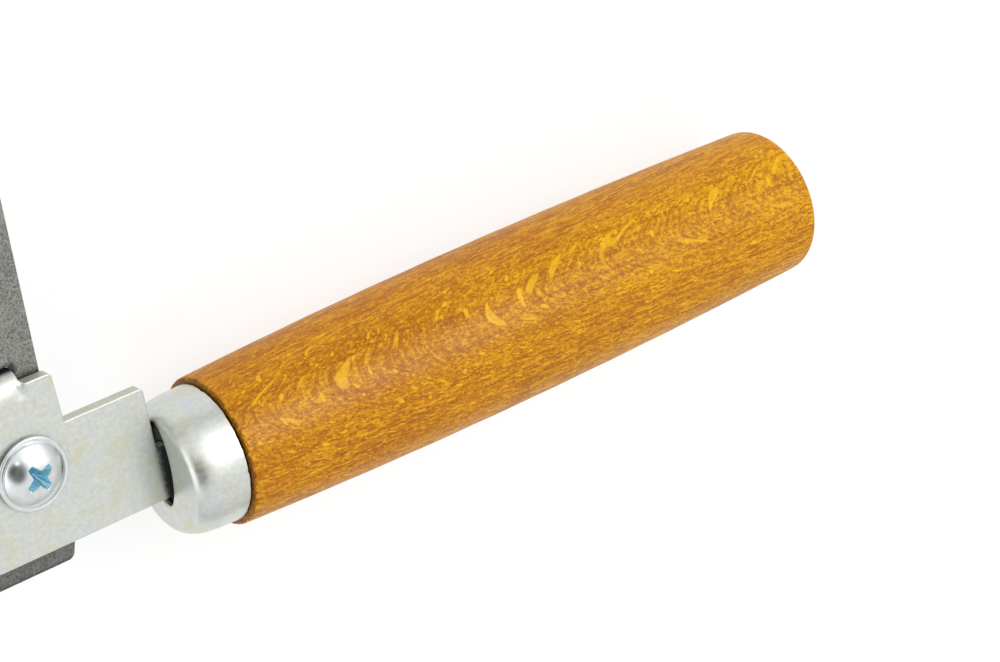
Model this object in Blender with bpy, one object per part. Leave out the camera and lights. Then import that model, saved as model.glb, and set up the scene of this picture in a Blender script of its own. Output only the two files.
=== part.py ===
"""Single-handed steel trowel in Blender 4.5: a flat blade, a zinc-plated sheet bracket that a screw and
a bent tab hold on the blade's corner, and a turned beech handle in a drawn steel ferrule.

Frame: metres, +Z up. The origin is the centre of the blade's underside. +X runs from the blade to the
handle's butt, +Y across the blade, away from the handle's side.
"""
import math

import bmesh
import bpy
from mathutils import Vector

MM = 0.001
GAP = 0.3 * MM                      # clearance between pieces that touch
WELD = 0.001 * MM                   # merge distance of coincident vertices

# Blade
BLADE_LENGTH = 240 * MM
BLADE_WIDTH = 100 * MM
BLADE_THICKNESS = 2.0 * MM
BLADE_CORNER_RADIUS = 1.3 * MM

# Fixing screw, its place measured in from the blade's heel and back edges
SCREW_FROM_HEEL = 6.9 * MM
SCREW_FROM_BACK = 20.1 * MM
SCREW_LENGTH = 16 * MM
SHANK_RADIUS = 2.75 * MM
CLEARANCE_HOLE_RADIUS = 3.3 * MM
COLLAR_RADIUS = 6.75 * MM
COLLAR_THICKNESS = 0.8 * MM
DOME_RADIUS = 5.9 * MM
DOME_HEIGHT = 2.4 * MM
RECESS_HALF_SPAN = 3.1 * MM
RECESS_HALF_WIDTH = 0.75 * MM
RECESS_DEPTH = 2.2 * MM
RECESS_TAPER = 0.45                 # size of the recess's floor against its mouth
RECESS_TURN = math.radians(31)

# Washers and nut on the blade's underside
WASHER_RADIUS = 6.0 * MM
WASHER_THICKNESS = 1.6 * MM
LOCK_WASHER_RADIUS = 5.6 * MM
LOCK_WASHER_THICKNESS = 1.6 * MM
LOCK_WASHER_SPLIT = 0.9 * MM
LOCK_WASHER_SLANT = math.radians(25)
NUT_ACROSS_FLATS = 10 * MM
NUT_HEIGHT = 5 * MM
NUT_BORE_RADIUS = SHANK_RADIUS + GAP

# Bracket: lengths along X and Y are measured from the screw's axis
BRACKET_THICKNESS = 2.5 * MM
BRACKET_FRONT_X = -12.0 * MM
BRACKET_LOW_Y = -15.65 * MM
BRACKET_STEP_Y = 6.2 * MM
BRACKET_HIGH_Y = 15.6 * MM
STEP_FOOT_X = 8.2 * MM
STEP_HEAD_X = 7.8 * MM
SHOULDER_HEAD_X = 24.0 * MM
SHOULDER_FOOT_X = 24.4 * MM
TANG_WIDTH = 10.0 * MM
TANG_LENGTH = 68 * MM
TAB_WIDTH = 8.0 * MM
TAB_CENTRE_X = -2.1 * MM
TAB_BEND_START_Y = 14.2 * MM
TAB_BEND_RADIUS = 4.2 * MM          # outside of the bend
TAB_SLOT_ROOM = 0.6 * MM            # free slot beyond the tab
TAB_RELIEF = 0.4 * MM               # slit beside the tab's root

# Handle: its axis lies in the bracket's middle plane
HANDLE_AXIS_Y = -11.2 * MM          # from the screw's axis
WOOD_START_X = 35.2 * MM            # from the screw's axis
WOOD_LENGTH = 138.0 * MM
WOOD_START_RADIUS = 14.2 * MM
WOOD_START_ROUNDING = 0.7 * MM
BELLY_RADIUS = 16.05 * MM
BELLY_AT = 0.53                     # share of the wood's length
BUTT_RADIUS = 15.0 * MM
BUTT_ROUNDING = 2.3 * MM
MORTISE_ROOM = 0.3 * MM

# Ferrule: a drawn cup whose floor faces the blade
FERRULE_START_X = 24.75 * MM        # from the screw's axis
FERRULE_WALL = 1.0 * MM
FERRULE_BACK_RADIUS = 13.25 * MM
FERRULE_FRONT_RADIUS = 12.2 * MM
FERRULE_ROUNDING = 1.8 * MM
OPENING_HALF_LENGTH = 8.6 * MM
OPENING_HALF_WIDTH = 3.5 * MM
OPENING_SHIFT_Y = 2.1 * MM

SEGMENTS = 40                       # facets round a turned piece
ARC_STEPS = 4                       # facets in a rounded corner

# Places that follow from the sizes above
SCREW_X = BLADE_LENGTH / 2 - SCREW_FROM_HEEL
SCREW_Y = -BLADE_WIDTH / 2 + SCREW_FROM_BACK
BRACKET_FLOOR_Z = BLADE_THICKNESS + GAP
BRACKET_TOP_Z = BRACKET_FLOOR_Z + BRACKET_THICKNESS
HANDLE_Y = SCREW_Y + HANDLE_AXIS_Y
HANDLE_Z = BRACKET_FLOOR_Z + BRACKET_THICKNESS / 2
TAB_LOW_X = TAB_CENTRE_X - TAB_WIDTH / 2
TAB_HIGH_X = TAB_CENTRE_X + TAB_WIDTH / 2
TAB_TOP_Y = TAB_BEND_START_Y + TAB_BEND_RADIUS
TANG_LOW_Y = BRACKET_LOW_Y
TANG_HIGH_Y = TANG_LOW_Y + TANG_WIDTH


def clear_scene():
    for item in list(bpy.data.objects):
        bpy.data.objects.remove(item, do_unlink=True)


def metal(name, color, roughness):
    return principled(name, color, roughness, 1.0)


def principled(name, color, roughness, metallic):
    material = bpy.data.materials.new(name)
    material.use_nodes = True
    shader = material.node_tree.nodes["Principled BSDF"]
    shader.inputs["Base Color"].default_value = (*color, 1.0)
    shader.inputs["Roughness"].default_value = roughness
    shader.inputs["Metallic"].default_value = metallic
    return material


def round_corners(corners, closed=True, steps=ARC_STEPS):
    """Points of an outline whose corners, given as (x, y, radius), are rounded by arcs."""
    points = []
    count = len(corners)
    for index, (x, y, radius) in enumerate(corners):
        inner = closed or 0 < index < count - 1
        here = Vector((x, y))
        if radius <= 0 or not inner:
            points.append(here)
            continue
        back = (Vector(corners[index - 1][:2]) - here).normalized()
        ahead = (Vector(corners[(index + 1) % count][:2]) - here).normalized()
        half_angle = back.angle(ahead) / 2
        centre = here + (back + ahead).normalized() * radius / math.sin(half_angle)
        start = here + back * radius / math.tan(half_angle) - centre
        end = here + ahead * radius / math.tan(half_angle) - centre
        turn = start.angle_signed(end)
        for step in range(steps + 1):
            angle = -turn * step / steps
            points.append(centre + Vector((start.x * math.cos(angle) - start.y * math.sin(angle),
                                           start.x * math.sin(angle) + start.y * math.cos(angle))))
    return [tuple(point) for point in points]


def add_object(name, bm, material, location=(0, 0, 0), rotation=(0, 0, 0)):
    bmesh.ops.remove_doubles(bm, verts=bm.verts, dist=WELD)
    bmesh.ops.recalc_face_normals(bm, faces=bm.faces)
    mesh = bpy.data.meshes.new(name)
    bm.to_mesh(mesh)
    bm.free()
    if material:
        mesh.materials.append(material)
    item = bpy.data.objects.new(name, mesh)
    item.location = location
    item.rotation_euler = rotation
    bpy.context.collection.objects.link(item)
    return item


def prism(name, outline, low, high, material=None, floor_scale=1.0, **place):
    """An outline in XY made solid from low to high; floor_scale shrinks its lower end."""
    bm = bmesh.new()
    floor = [bm.verts.new((x * floor_scale, y * floor_scale, low)) for x, y in outline]
    roof = [bm.verts.new((x, y, high)) for x, y in outline]
    bm.faces.new(floor)
    bm.faces.new(roof)
    bmesh.ops.bridge_loops(bm, edges=[edge for edge in bm.edges])
    return add_object(name, bm, material, **place)


def turned(name, profile, material=None, closed=False, segments=SEGMENTS, **place):
    """A profile of (radius, height) points spun about local Z."""
    bm = bmesh.new()
    verts = [bm.verts.new((radius, 0, height)) for radius, height in profile]
    ends = verts[1:] + verts[:1] if closed else verts[1:]
    edges = [bm.edges.new(pair) for pair in zip(verts, ends)]
    bmesh.ops.spin(bm, geom=verts + edges, cent=(0, 0, 0), axis=(0, 0, 1), angle=math.tau,
                   steps=segments, use_merge=True)
    item = add_object(name, bm, material, **place)
    item.data.shade_smooth()
    item.data.set_sharp_from_angle(angle=math.radians(35))
    return item


def combine(item, other, operation):
    """Boolean of item with other, which stays in the scene as a hidden guide."""
    other.hide_render = True
    other.display_type = "WIRE"
    modifier = item.modifiers.new(f"{operation.lower()}_{other.name}", "BOOLEAN")
    modifier.operation = operation
    modifier.solver = "EXACT"
    modifier.object = other


def circle(radius, segments=24):
    return [(radius * math.cos(math.tau * step / segments), radius * math.sin(math.tau * step / segments))
            for step in range(segments)]


def rectangle(low_x, low_y, high_x, high_y, radius):
    return round_corners([(low_x, low_y, radius), (high_x, low_y, radius),
                          (high_x, high_y, radius), (low_x, high_y, radius)])


def make_blade(material):
    outline = rectangle(-BLADE_LENGTH / 2, -BLADE_WIDTH / 2, BLADE_LENGTH / 2, BLADE_WIDTH / 2,
                        BLADE_CORNER_RADIUS)
    blade = prism("blade", outline, 0, BLADE_THICKNESS, material)
    at_screw = (SCREW_X, SCREW_Y, 0)
    hole = prism("blade_screw_hole_cutter", circle(CLEARANCE_HOLE_RADIUS), -1 * MM,
                 BLADE_THICKNESS + 1 * MM, location=at_screw)
    slot_outline = rectangle(TAB_LOW_X - 2 * GAP, TAB_BEND_START_Y, TAB_HIGH_X + 2 * GAP,
                             TAB_TOP_Y + TAB_SLOT_ROOM, 1.0 * MM)
    slot = prism("blade_tab_slot_cutter", slot_outline, -1 * MM, BLADE_THICKNESS + 1 * MM,
                 location=at_screw)
    combine(blade, hole, "DIFFERENCE")
    combine(blade, slot, "DIFFERENCE")
    return blade


def tab_side_outline():
    """Side view of the bent tab as (y, z) from the start of its bend and the bracket's middle plane."""
    half = BRACKET_THICKNESS / 2
    root = -1.5 * MM
    outer, inner = TAB_BEND_RADIUS, TAB_BEND_RADIUS - BRACKET_THICKNESS
    reach = BRACKET_FLOOR_Z + half - GAP
    return round_corners([(root, half, 0), (outer, half, outer), (outer, -reach, 0),
                          (inner, -reach, 0), (inner, -half, inner), (root, -half, 0)], steps=6)


def make_bracket(material):
    relief_y = TAB_BEND_START_Y - TAB_RELIEF
    outline = round_corners([
        (BRACKET_FRONT_X, BRACKET_LOW_Y, 3.0 * MM),
        (SHOULDER_FOOT_X + TANG_LENGTH, TANG_LOW_Y, 1.5 * MM),
        (SHOULDER_FOOT_X + TANG_LENGTH, TANG_HIGH_Y, 1.5 * MM),
        (SHOULDER_FOOT_X, TANG_HIGH_Y, 0.6 * MM),
        (SHOULDER_HEAD_X, BRACKET_STEP_Y, 0.8 * MM),
        (STEP_FOOT_X, BRACKET_STEP_Y, 0),
        (STEP_HEAD_X, BRACKET_HIGH_Y, 1.0 * MM),
        (TAB_HIGH_X + TAB_RELIEF, BRACKET_HIGH_Y, 0),
        (TAB_HIGH_X + TAB_RELIEF, relief_y, 0),
        (TAB_LOW_X - TAB_RELIEF, relief_y, 0),
        (TAB_LOW_X - TAB_RELIEF, BRACKET_HIGH_Y, 0),
        (BRACKET_FRONT_X, BRACKET_HIGH_Y, 1.5 * MM),
    ])
    bracket = prism("tang_bracket", outline, BRACKET_FLOOR_Z, BRACKET_TOP_Z, material,
                    location=(SCREW_X, SCREW_Y, 0))
    tab = prism("bracket_tab_guide", tab_side_outline(), TAB_LOW_X, TAB_HIGH_X,
                location=(SCREW_X, SCREW_Y + TAB_BEND_START_Y, HANDLE_Z),
                rotation=(math.radians(90), 0, math.radians(90)))
    hole = prism("bracket_screw_hole_cutter", circle(CLEARANCE_HOLE_RADIUS), 0,
                 BRACKET_TOP_Z + 1 * MM, location=(SCREW_X, SCREW_Y, 0))
    combine(bracket, tab, "UNION")
    combine(bracket, hole, "DIFFERENCE")
    return bracket


def dome_profile():
    """Outer side of the screw's head from its top to the collar's edge, heights from the seat."""
    top = COLLAR_THICKNESS + DOME_HEIGHT
    steps = 8
    points = []
    for step in range(steps + 1):
        angle = math.pi / 2 * step / steps
        points.append((DOME_RADIUS * math.sin(angle) ** 0.9,
                       COLLAR_THICKNESS + (top - COLLAR_THICKNESS) * math.cos(angle) ** 0.8))
    return points + [(COLLAR_RADIUS, COLLAR_THICKNESS), (COLLAR_RADIUS, 0)]


def make_screw(material):
    tip = -SCREW_LENGTH
    profile = dome_profile() + [(SHANK_RADIUS, 0), (SHANK_RADIUS, tip + 0.8 * MM),
                                (SHANK_RADIUS - 0.8 * MM, tip), (0, tip)]
    place = (SCREW_X, SCREW_Y, BRACKET_TOP_Z + GAP)
    screw = turned("screw", profile, material, segments=28, location=place)
    span, half = RECESS_HALF_SPAN, RECESS_HALF_WIDTH
    cross = [(span, -half), (span, half), (half, half), (half, span), (-half, span), (-half, half),
             (-span, half), (-span, -half), (-half, -half), (-half, -span), (half, -span), (half, -half)]
    top = COLLAR_THICKNESS + DOME_HEIGHT
    recess = prism("screw_recess_cutter", cross, top - RECESS_DEPTH, top + 0.2 * MM,
                   floor_scale=RECESS_TAPER, location=place, rotation=(0, 0, RECESS_TURN))
    combine(screw, recess, "DIFFERENCE")
    return screw


def ring(name, inner, outer, top, thickness, material):
    profile = [(outer, 0), (outer, -thickness), (inner, -thickness), (inner, 0)]
    return turned(name, profile, material, closed=True, segments=28, location=(SCREW_X, SCREW_Y, top))


def make_washers(material):
    washer_top = -GAP
    lock_top = washer_top - WASHER_THICKNESS - GAP
    washer = ring("plain_washer", CLEARANCE_HOLE_RADIUS, WASHER_RADIUS, washer_top, WASHER_THICKNESS,
                  material)
    lock = ring("lock_washer", CLEARANCE_HOLE_RADIUS, LOCK_WASHER_RADIUS, lock_top,
                LOCK_WASHER_THICKNESS, material)
    half = LOCK_WASHER_SPLIT / 2
    split_outline = [(0, -half), (LOCK_WASHER_RADIUS * 1.5, -half), (LOCK_WASHER_RADIUS * 1.5, half),
                     (0, half)]
    split = prism("lock_washer_split_cutter", split_outline, -4 * MM, 4 * MM,
                  location=(SCREW_X, SCREW_Y, lock_top - LOCK_WASHER_THICKNESS / 2),
                  rotation=(LOCK_WASHER_SLANT, 0, 0))
    combine(lock, split, "DIFFERENCE")
    return [washer, lock]


def make_nut(material):
    top = -WASHER_THICKNESS - LOCK_WASHER_THICKNESS - 3 * GAP
    corner_radius = NUT_ACROSS_FLATS / math.sqrt(3)
    nut = prism("hex_nut", circle(corner_radius, 6), -NUT_HEIGHT, 0, material,
                location=(SCREW_X, SCREW_Y, top))
    flat_radius = NUT_ACROSS_FLATS / 2 * 0.97
    chamfer = math.tan(math.radians(30)) * (corner_radius - flat_radius)
    envelope_profile = [(0, 0), (flat_radius, 0), (corner_radius, -chamfer),
                        (corner_radius, chamfer - NUT_HEIGHT), (flat_radius, -NUT_HEIGHT),
                        (0, -NUT_HEIGHT)]
    envelope = turned("nut_chamfer_guide", envelope_profile, segments=36, location=nut.location)
    bore = prism("nut_bore_cutter", circle(NUT_BORE_RADIUS), -NUT_HEIGHT - 1 * MM, 1 * MM,
                 location=nut.location)
    combine(nut, envelope, "INTERSECT")
    combine(nut, bore, "DIFFERENCE")
    return nut


def along_handle(distance):
    """Place and turn of a piece that is turned about the handle's axis, its local Z towards the butt."""
    return {"location": (SCREW_X + distance, HANDLE_Y, HANDLE_Z), "rotation": (0, math.pi / 2, 0)}


def ferrule_radius(distance):
    """Outer radius of the ferrule at a distance from its floor."""
    share = distance / (WOOD_START_X - GAP - FERRULE_START_X)
    return FERRULE_FRONT_RADIUS + (FERRULE_BACK_RADIUS - FERRULE_FRONT_RADIUS) * share


def make_ferrule(material):
    depth = WOOD_START_X - GAP - FERRULE_START_X
    outer = round_corners([(0, 0, 0), (ferrule_radius(0), 0, FERRULE_ROUNDING),
                           (ferrule_radius(depth), depth, 0)], closed=False, steps=6)
    inner_rounding = FERRULE_ROUNDING - FERRULE_WALL
    inner = round_corners([(ferrule_radius(depth) - FERRULE_WALL, depth, 0),
                           (ferrule_radius(0) - FERRULE_WALL, FERRULE_WALL, inner_rounding),
                           (0, FERRULE_WALL, 0)], closed=False)
    ferrule = turned("ferrule", outer + inner, material, **along_handle(FERRULE_START_X))
    oval = [(x, y * OPENING_HALF_LENGTH / OPENING_HALF_WIDTH) for x, y in circle(OPENING_HALF_WIDTH, 32)]
    opening = prism("ferrule_opening_cutter", oval, -2 * MM, FERRULE_WALL + 1 * MM,
                    **along_handle(FERRULE_START_X))
    opening.location.y += OPENING_SHIFT_Y
    combine(ferrule, opening, "DIFFERENCE")
    return ferrule


def barrel_radius(share):
    """Radius of the wooden barrel at a share of its length: two half parabolas that meet at the belly."""
    end_radius = WOOD_START_RADIUS if share < BELLY_AT else BUTT_RADIUS
    end = 0.0 if share < BELLY_AT else 1.0
    return BELLY_RADIUS - (BELLY_RADIUS - end_radius) * ((share - BELLY_AT) / (end - BELLY_AT)) ** 2


def make_handle(material):
    spigot_start = FERRULE_START_X + FERRULE_WALL + GAP - WOOD_START_X
    front = FERRULE_START_X - WOOD_START_X
    spigot = [(0, spigot_start, 0),
              (ferrule_radius(spigot_start - front) - FERRULE_WALL - GAP, spigot_start, 1.5 * MM),
              (ferrule_radius(-front - GAP) - FERRULE_WALL - GAP, 0, 0),
              (WOOD_START_RADIUS, 0, WOOD_START_ROUNDING),
              (barrel_radius(0.06), 0.06 * WOOD_LENGTH, 0)]
    rings = 14
    barrel_end = (WOOD_LENGTH - BUTT_ROUNDING) / WOOD_LENGTH
    shares = [0.06 + (barrel_end - 0.06) * step / rings for step in range(1, rings + 1)]
    barrel = [(barrel_radius(share), share * WOOD_LENGTH) for share in shares]
    butt_radius = barrel[-1][0]
    rounding = [(butt_radius - BUTT_ROUNDING * (1 - math.cos(angle)),
                 WOOD_LENGTH - BUTT_ROUNDING * (1 - math.sin(angle)))
                for angle in (math.pi / 2 * step / ARC_STEPS for step in range(1, ARC_STEPS + 1))]
    profile = round_corners(spigot, closed=False) + barrel + rounding + [(0, WOOD_LENGTH)]
    handle = turned("handle", profile, material, **along_handle(WOOD_START_X))
    mortise_outline = rectangle(WOOD_START_X - 20 * MM, TANG_LOW_Y - MORTISE_ROOM,
                                SHOULDER_FOOT_X + TANG_LENGTH + 1 * MM, TANG_HIGH_Y + MORTISE_ROOM,
                                0.5 * MM)
    mortise = prism("handle_mortise_cutter", mortise_outline, BRACKET_FLOOR_Z - MORTISE_ROOM,
                    BRACKET_TOP_Z + MORTISE_ROOM, location=(SCREW_X, SCREW_Y, 0))
    combine(handle, mortise, "DIFFERENCE")
    return handle


def main():
    clear_scene()
    zinc = metal("zinc_plate", (0.66, 0.68, 0.62), 0.38)
    bright_zinc = metal("bright_zinc", (0.72, 0.75, 0.76), 0.25)
    blasted_steel = metal("blasted_steel", (0.20, 0.20, 0.19), 0.62)
    beech = principled("varnished_beech", (0.58, 0.22, 0.03), 0.35, 0.0)
    pieces = [make_blade(blasted_steel), make_bracket(zinc), make_screw(bright_zinc),
              *make_washers(bright_zinc), make_nut(bright_zinc), make_ferrule(zinc), make_handle(beech)]
    trowel = bpy.data.objects.new("trowel", None)
    bpy.context.collection.objects.link(trowel)
    for piece in pieces:
        piece.parent = trowel


main()
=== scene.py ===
"""Looks of the single-handed steel trowel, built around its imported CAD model.

Every CAD node is replaced by a finer piece in the same place: plated sheet with rolled edges and a
smooth bend, a drawn ferrule, a cross-recess screw with a real thread, and turned, varnished beech.
Lengths are in millimetres, except for the floor's, the softbox's and the camera's distance, which are
in metres. Places on the bracket and round the blade's slot are measured from the screw's axis.
"""
import math

import bmesh
import bpy
import numpy as np
from mathutils import Matrix, Quaternion, Vector


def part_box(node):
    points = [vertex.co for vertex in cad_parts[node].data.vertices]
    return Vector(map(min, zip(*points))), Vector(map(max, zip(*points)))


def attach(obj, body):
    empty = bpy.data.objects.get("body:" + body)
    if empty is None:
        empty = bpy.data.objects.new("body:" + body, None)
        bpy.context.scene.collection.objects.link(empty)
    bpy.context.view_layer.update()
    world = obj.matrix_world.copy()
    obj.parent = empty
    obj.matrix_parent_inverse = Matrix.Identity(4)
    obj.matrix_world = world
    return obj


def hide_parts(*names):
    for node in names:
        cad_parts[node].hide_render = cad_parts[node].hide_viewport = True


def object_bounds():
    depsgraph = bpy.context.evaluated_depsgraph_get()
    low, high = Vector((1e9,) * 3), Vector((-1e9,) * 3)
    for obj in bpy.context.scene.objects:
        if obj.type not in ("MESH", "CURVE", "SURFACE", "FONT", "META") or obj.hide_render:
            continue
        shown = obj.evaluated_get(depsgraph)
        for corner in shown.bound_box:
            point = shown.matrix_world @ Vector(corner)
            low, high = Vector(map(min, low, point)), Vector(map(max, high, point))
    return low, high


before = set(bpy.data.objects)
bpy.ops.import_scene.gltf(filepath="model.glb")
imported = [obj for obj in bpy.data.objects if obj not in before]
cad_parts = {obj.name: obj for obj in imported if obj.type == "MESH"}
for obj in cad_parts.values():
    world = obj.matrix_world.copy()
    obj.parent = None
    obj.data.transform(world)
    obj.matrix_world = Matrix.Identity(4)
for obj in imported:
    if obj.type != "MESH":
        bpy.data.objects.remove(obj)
cad_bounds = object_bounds()

MM = 0.001
TAU = math.tau
RNG = np.random.default_rng(7)


# ---------------------------------------------------------------- sizes read from the frame

def box_mm(node):
    low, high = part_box(node)
    return np.array(low) / MM, np.array(high) / MM


def middle(node):
    low, high = box_mm(node)
    return (low + high) / 2


SCREW_X, SCREW_Y = middle("plain_washer")[:2]
BLADE_LOW, BLADE_HIGH = box_mm("blade")
BRACKET_HIGH = box_mm("tang_bracket")[1]
HANDLE_LOW, HANDLE_HIGH = box_mm("handle")
FERRULE_LOW, FERRULE_HIGH = box_mm("ferrule")
SCREW_LOW, SCREW_HIGH = box_mm("screw")
NUT_LOW, NUT_HIGH = box_mm("hex_nut")

AXIS_Y, AXIS_Z = middle("ferrule")[1:]
SHEET_THICKNESS = 2.5
SHEET_TOP = BRACKET_HIGH[2]
SHEET_MIDDLE = SHEET_TOP - SHEET_THICKNESS / 2
SHEET_FLOOR = SHEET_TOP - SHEET_THICKNESS
FIT_GAP = 0.3  # between pieces that touch on the real tool, as in the CAD
HOLE_RADIUS = 3.3
SHARP_EDGE = math.radians(50)


# ---------------------------------------------------------------- mesh helpers

def new_piece(name, bm, materials, smooth_angle=None):
    mesh = bpy.data.meshes.new(name)
    bm.to_mesh(mesh)
    bm.free()
    piece = bpy.data.objects.new(name, mesh)
    bpy.context.scene.collection.objects.link(piece)
    for material in materials:
        mesh.materials.append(material)
    mesh.shade_smooth()
    if smooth_angle:
        mesh.set_sharp_from_angle(angle=math.radians(smooth_angle))
    return piece


def apply_modifiers(piece):
    """Keeps a piece's mesh as its modifiers make it."""
    graph = bpy.context.evaluated_depsgraph_get()
    finished = bpy.data.meshes.new_from_object(piece.evaluated_get(graph))
    piece.modifiers.clear()
    piece.data = finished


def cut(piece, cutter):
    """Takes the cutter away from a piece. The cut faces keep the cutter's material."""
    modifier = piece.modifiers.new("cut", "BOOLEAN")
    modifier.operation = "DIFFERENCE"
    modifier.solver = "EXACT"
    modifier.material_mode = "TRANSFER"
    modifier.object = cutter
    apply_modifiers(piece)
    bpy.data.objects.remove(cutter)


def round_corners(corners, steps=6):
    """A closed outline whose corners, given as (x, y, radius), are rounded by arcs."""
    points = []
    for index, (x, y, radius) in enumerate(corners):
        here = Vector((x, y))
        back = (Vector(corners[index - 1][:2]) - here).normalized()
        ahead = (Vector(corners[(index + 1) % len(corners)][:2]) - here).normalized()
        half_angle = back.angle(ahead) / 2
        centre = here + (back + ahead).normalized() * radius / math.sin(half_angle)
        start = here + back * radius / math.tan(half_angle) - centre
        end = here + ahead * radius / math.tan(half_angle) - centre
        turn = -start.angle_signed(end)
        for step in range(steps + 1):
            angle = turn * step / steps
            points.append((centre.x + start.x * math.cos(angle) - start.y * math.sin(angle),
                           centre.y + start.x * math.sin(angle) + start.y * math.cos(angle)))
    return points


def loft(rings, closed=False):
    """A bmesh of quads through rings of points in millimetres; ends are fanned unless closed."""
    bm = bmesh.new()
    rows = [[bm.verts.new(tuple(point * MM)) for point in ring] for ring in rings]
    pairs = list(zip(rows, rows[1:]))
    if closed:
        pairs.append((rows[-1], rows[0]))
    for lower, upper in pairs:
        for index in range(len(lower)):
            ahead = (index + 1) % len(lower)
            bm.faces.new((lower[index], lower[ahead], upper[ahead], upper[index]))
    if not closed:
        for row, ring in ((rows[0], rings[0]), (rows[-1], rings[-1])):
            centre = bm.verts.new(tuple(ring.mean(axis=0) * MM))
            for index in range(len(row)):
                bm.faces.new((row[index], row[(index + 1) % len(row)], centre))
    bmesh.ops.recalc_face_normals(bm, faces=bm.faces)
    return bm


def smooth(share):
    """An even start and end: 0 up to a share of 0, and 1 from a share of 1."""
    share = min(1.0, max(0.0, share))
    return share * share * (3 - 2 * share)


def round_angles(segments):
    return np.arange(segments) * TAU / segments


def ring_about_x(distance, radius, segments):
    """A ring round the handle's axis at a distance along X. Both may vary round it."""
    angle = round_angles(segments)
    return np.stack([distance + 0.0 * angle, AXIS_Y + radius * np.sin(angle),
                     AXIS_Z + radius * np.cos(angle)], axis=1)


def ring_about_z(height, radius, segments):
    """A ring round the screw's axis. Its radius may vary round it."""
    angle = round_angles(segments)
    return np.stack([SCREW_X + radius * np.cos(angle), SCREW_Y + radius * np.sin(angle),
                     height + 0.0 * angle], axis=1)


def plate(outline, low, high):
    """An outline in XY, in millimetres, made solid from low to high."""
    bm = bmesh.new()
    face = bm.faces.new([bm.verts.new((x * MM, y * MM, low * MM)) for x, y in outline])
    extruded = bmesh.ops.extrude_face_region(bm, geom=[face])
    lifted = [item for item in extruded["geom"] if isinstance(item, bmesh.types.BMVert)]
    bmesh.ops.translate(bm, verts=lifted, vec=(0, 0, (high - low) * MM))
    bmesh.ops.recalc_face_normals(bm, faces=bm.faces)
    return bm


def screw_hole(low, high):
    """A cutter for the screw's hole, from low to high."""
    return new_piece("hole", loft([ring_about_z(z, HOLE_RADIUS, 64) for z in (low, high)]), [])


def roll_edges(piece, width, segments=3, material=-1, clamp=True):
    modifier = piece.modifiers.new("rolled_edges", "BEVEL")
    modifier.width = width * MM
    modifier.segments = segments
    modifier.limit_method = "ANGLE"
    modifier.angle_limit = SHARP_EDGE
    modifier.material = material
    modifier.use_clamp_overlap = clamp
    apply_modifiers(piece)


def slice_mesh(bm, point, normal):
    bmesh.ops.bisect_plane(bm, geom=bm.verts[:] + bm.edges[:] + bm.faces[:], plane_co=point,
                           plane_no=normal, dist=1e-7)


def weigh_normals(piece):
    modifier = piece.modifiers.new("weighted_normals", "WEIGHTED_NORMAL")
    modifier.keep_sharp = True
    apply_modifiers(piece)


def finish_piece(piece, node):
    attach(piece, "root")
    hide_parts(node)


# ---------------------------------------------------------------- material helpers

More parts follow.
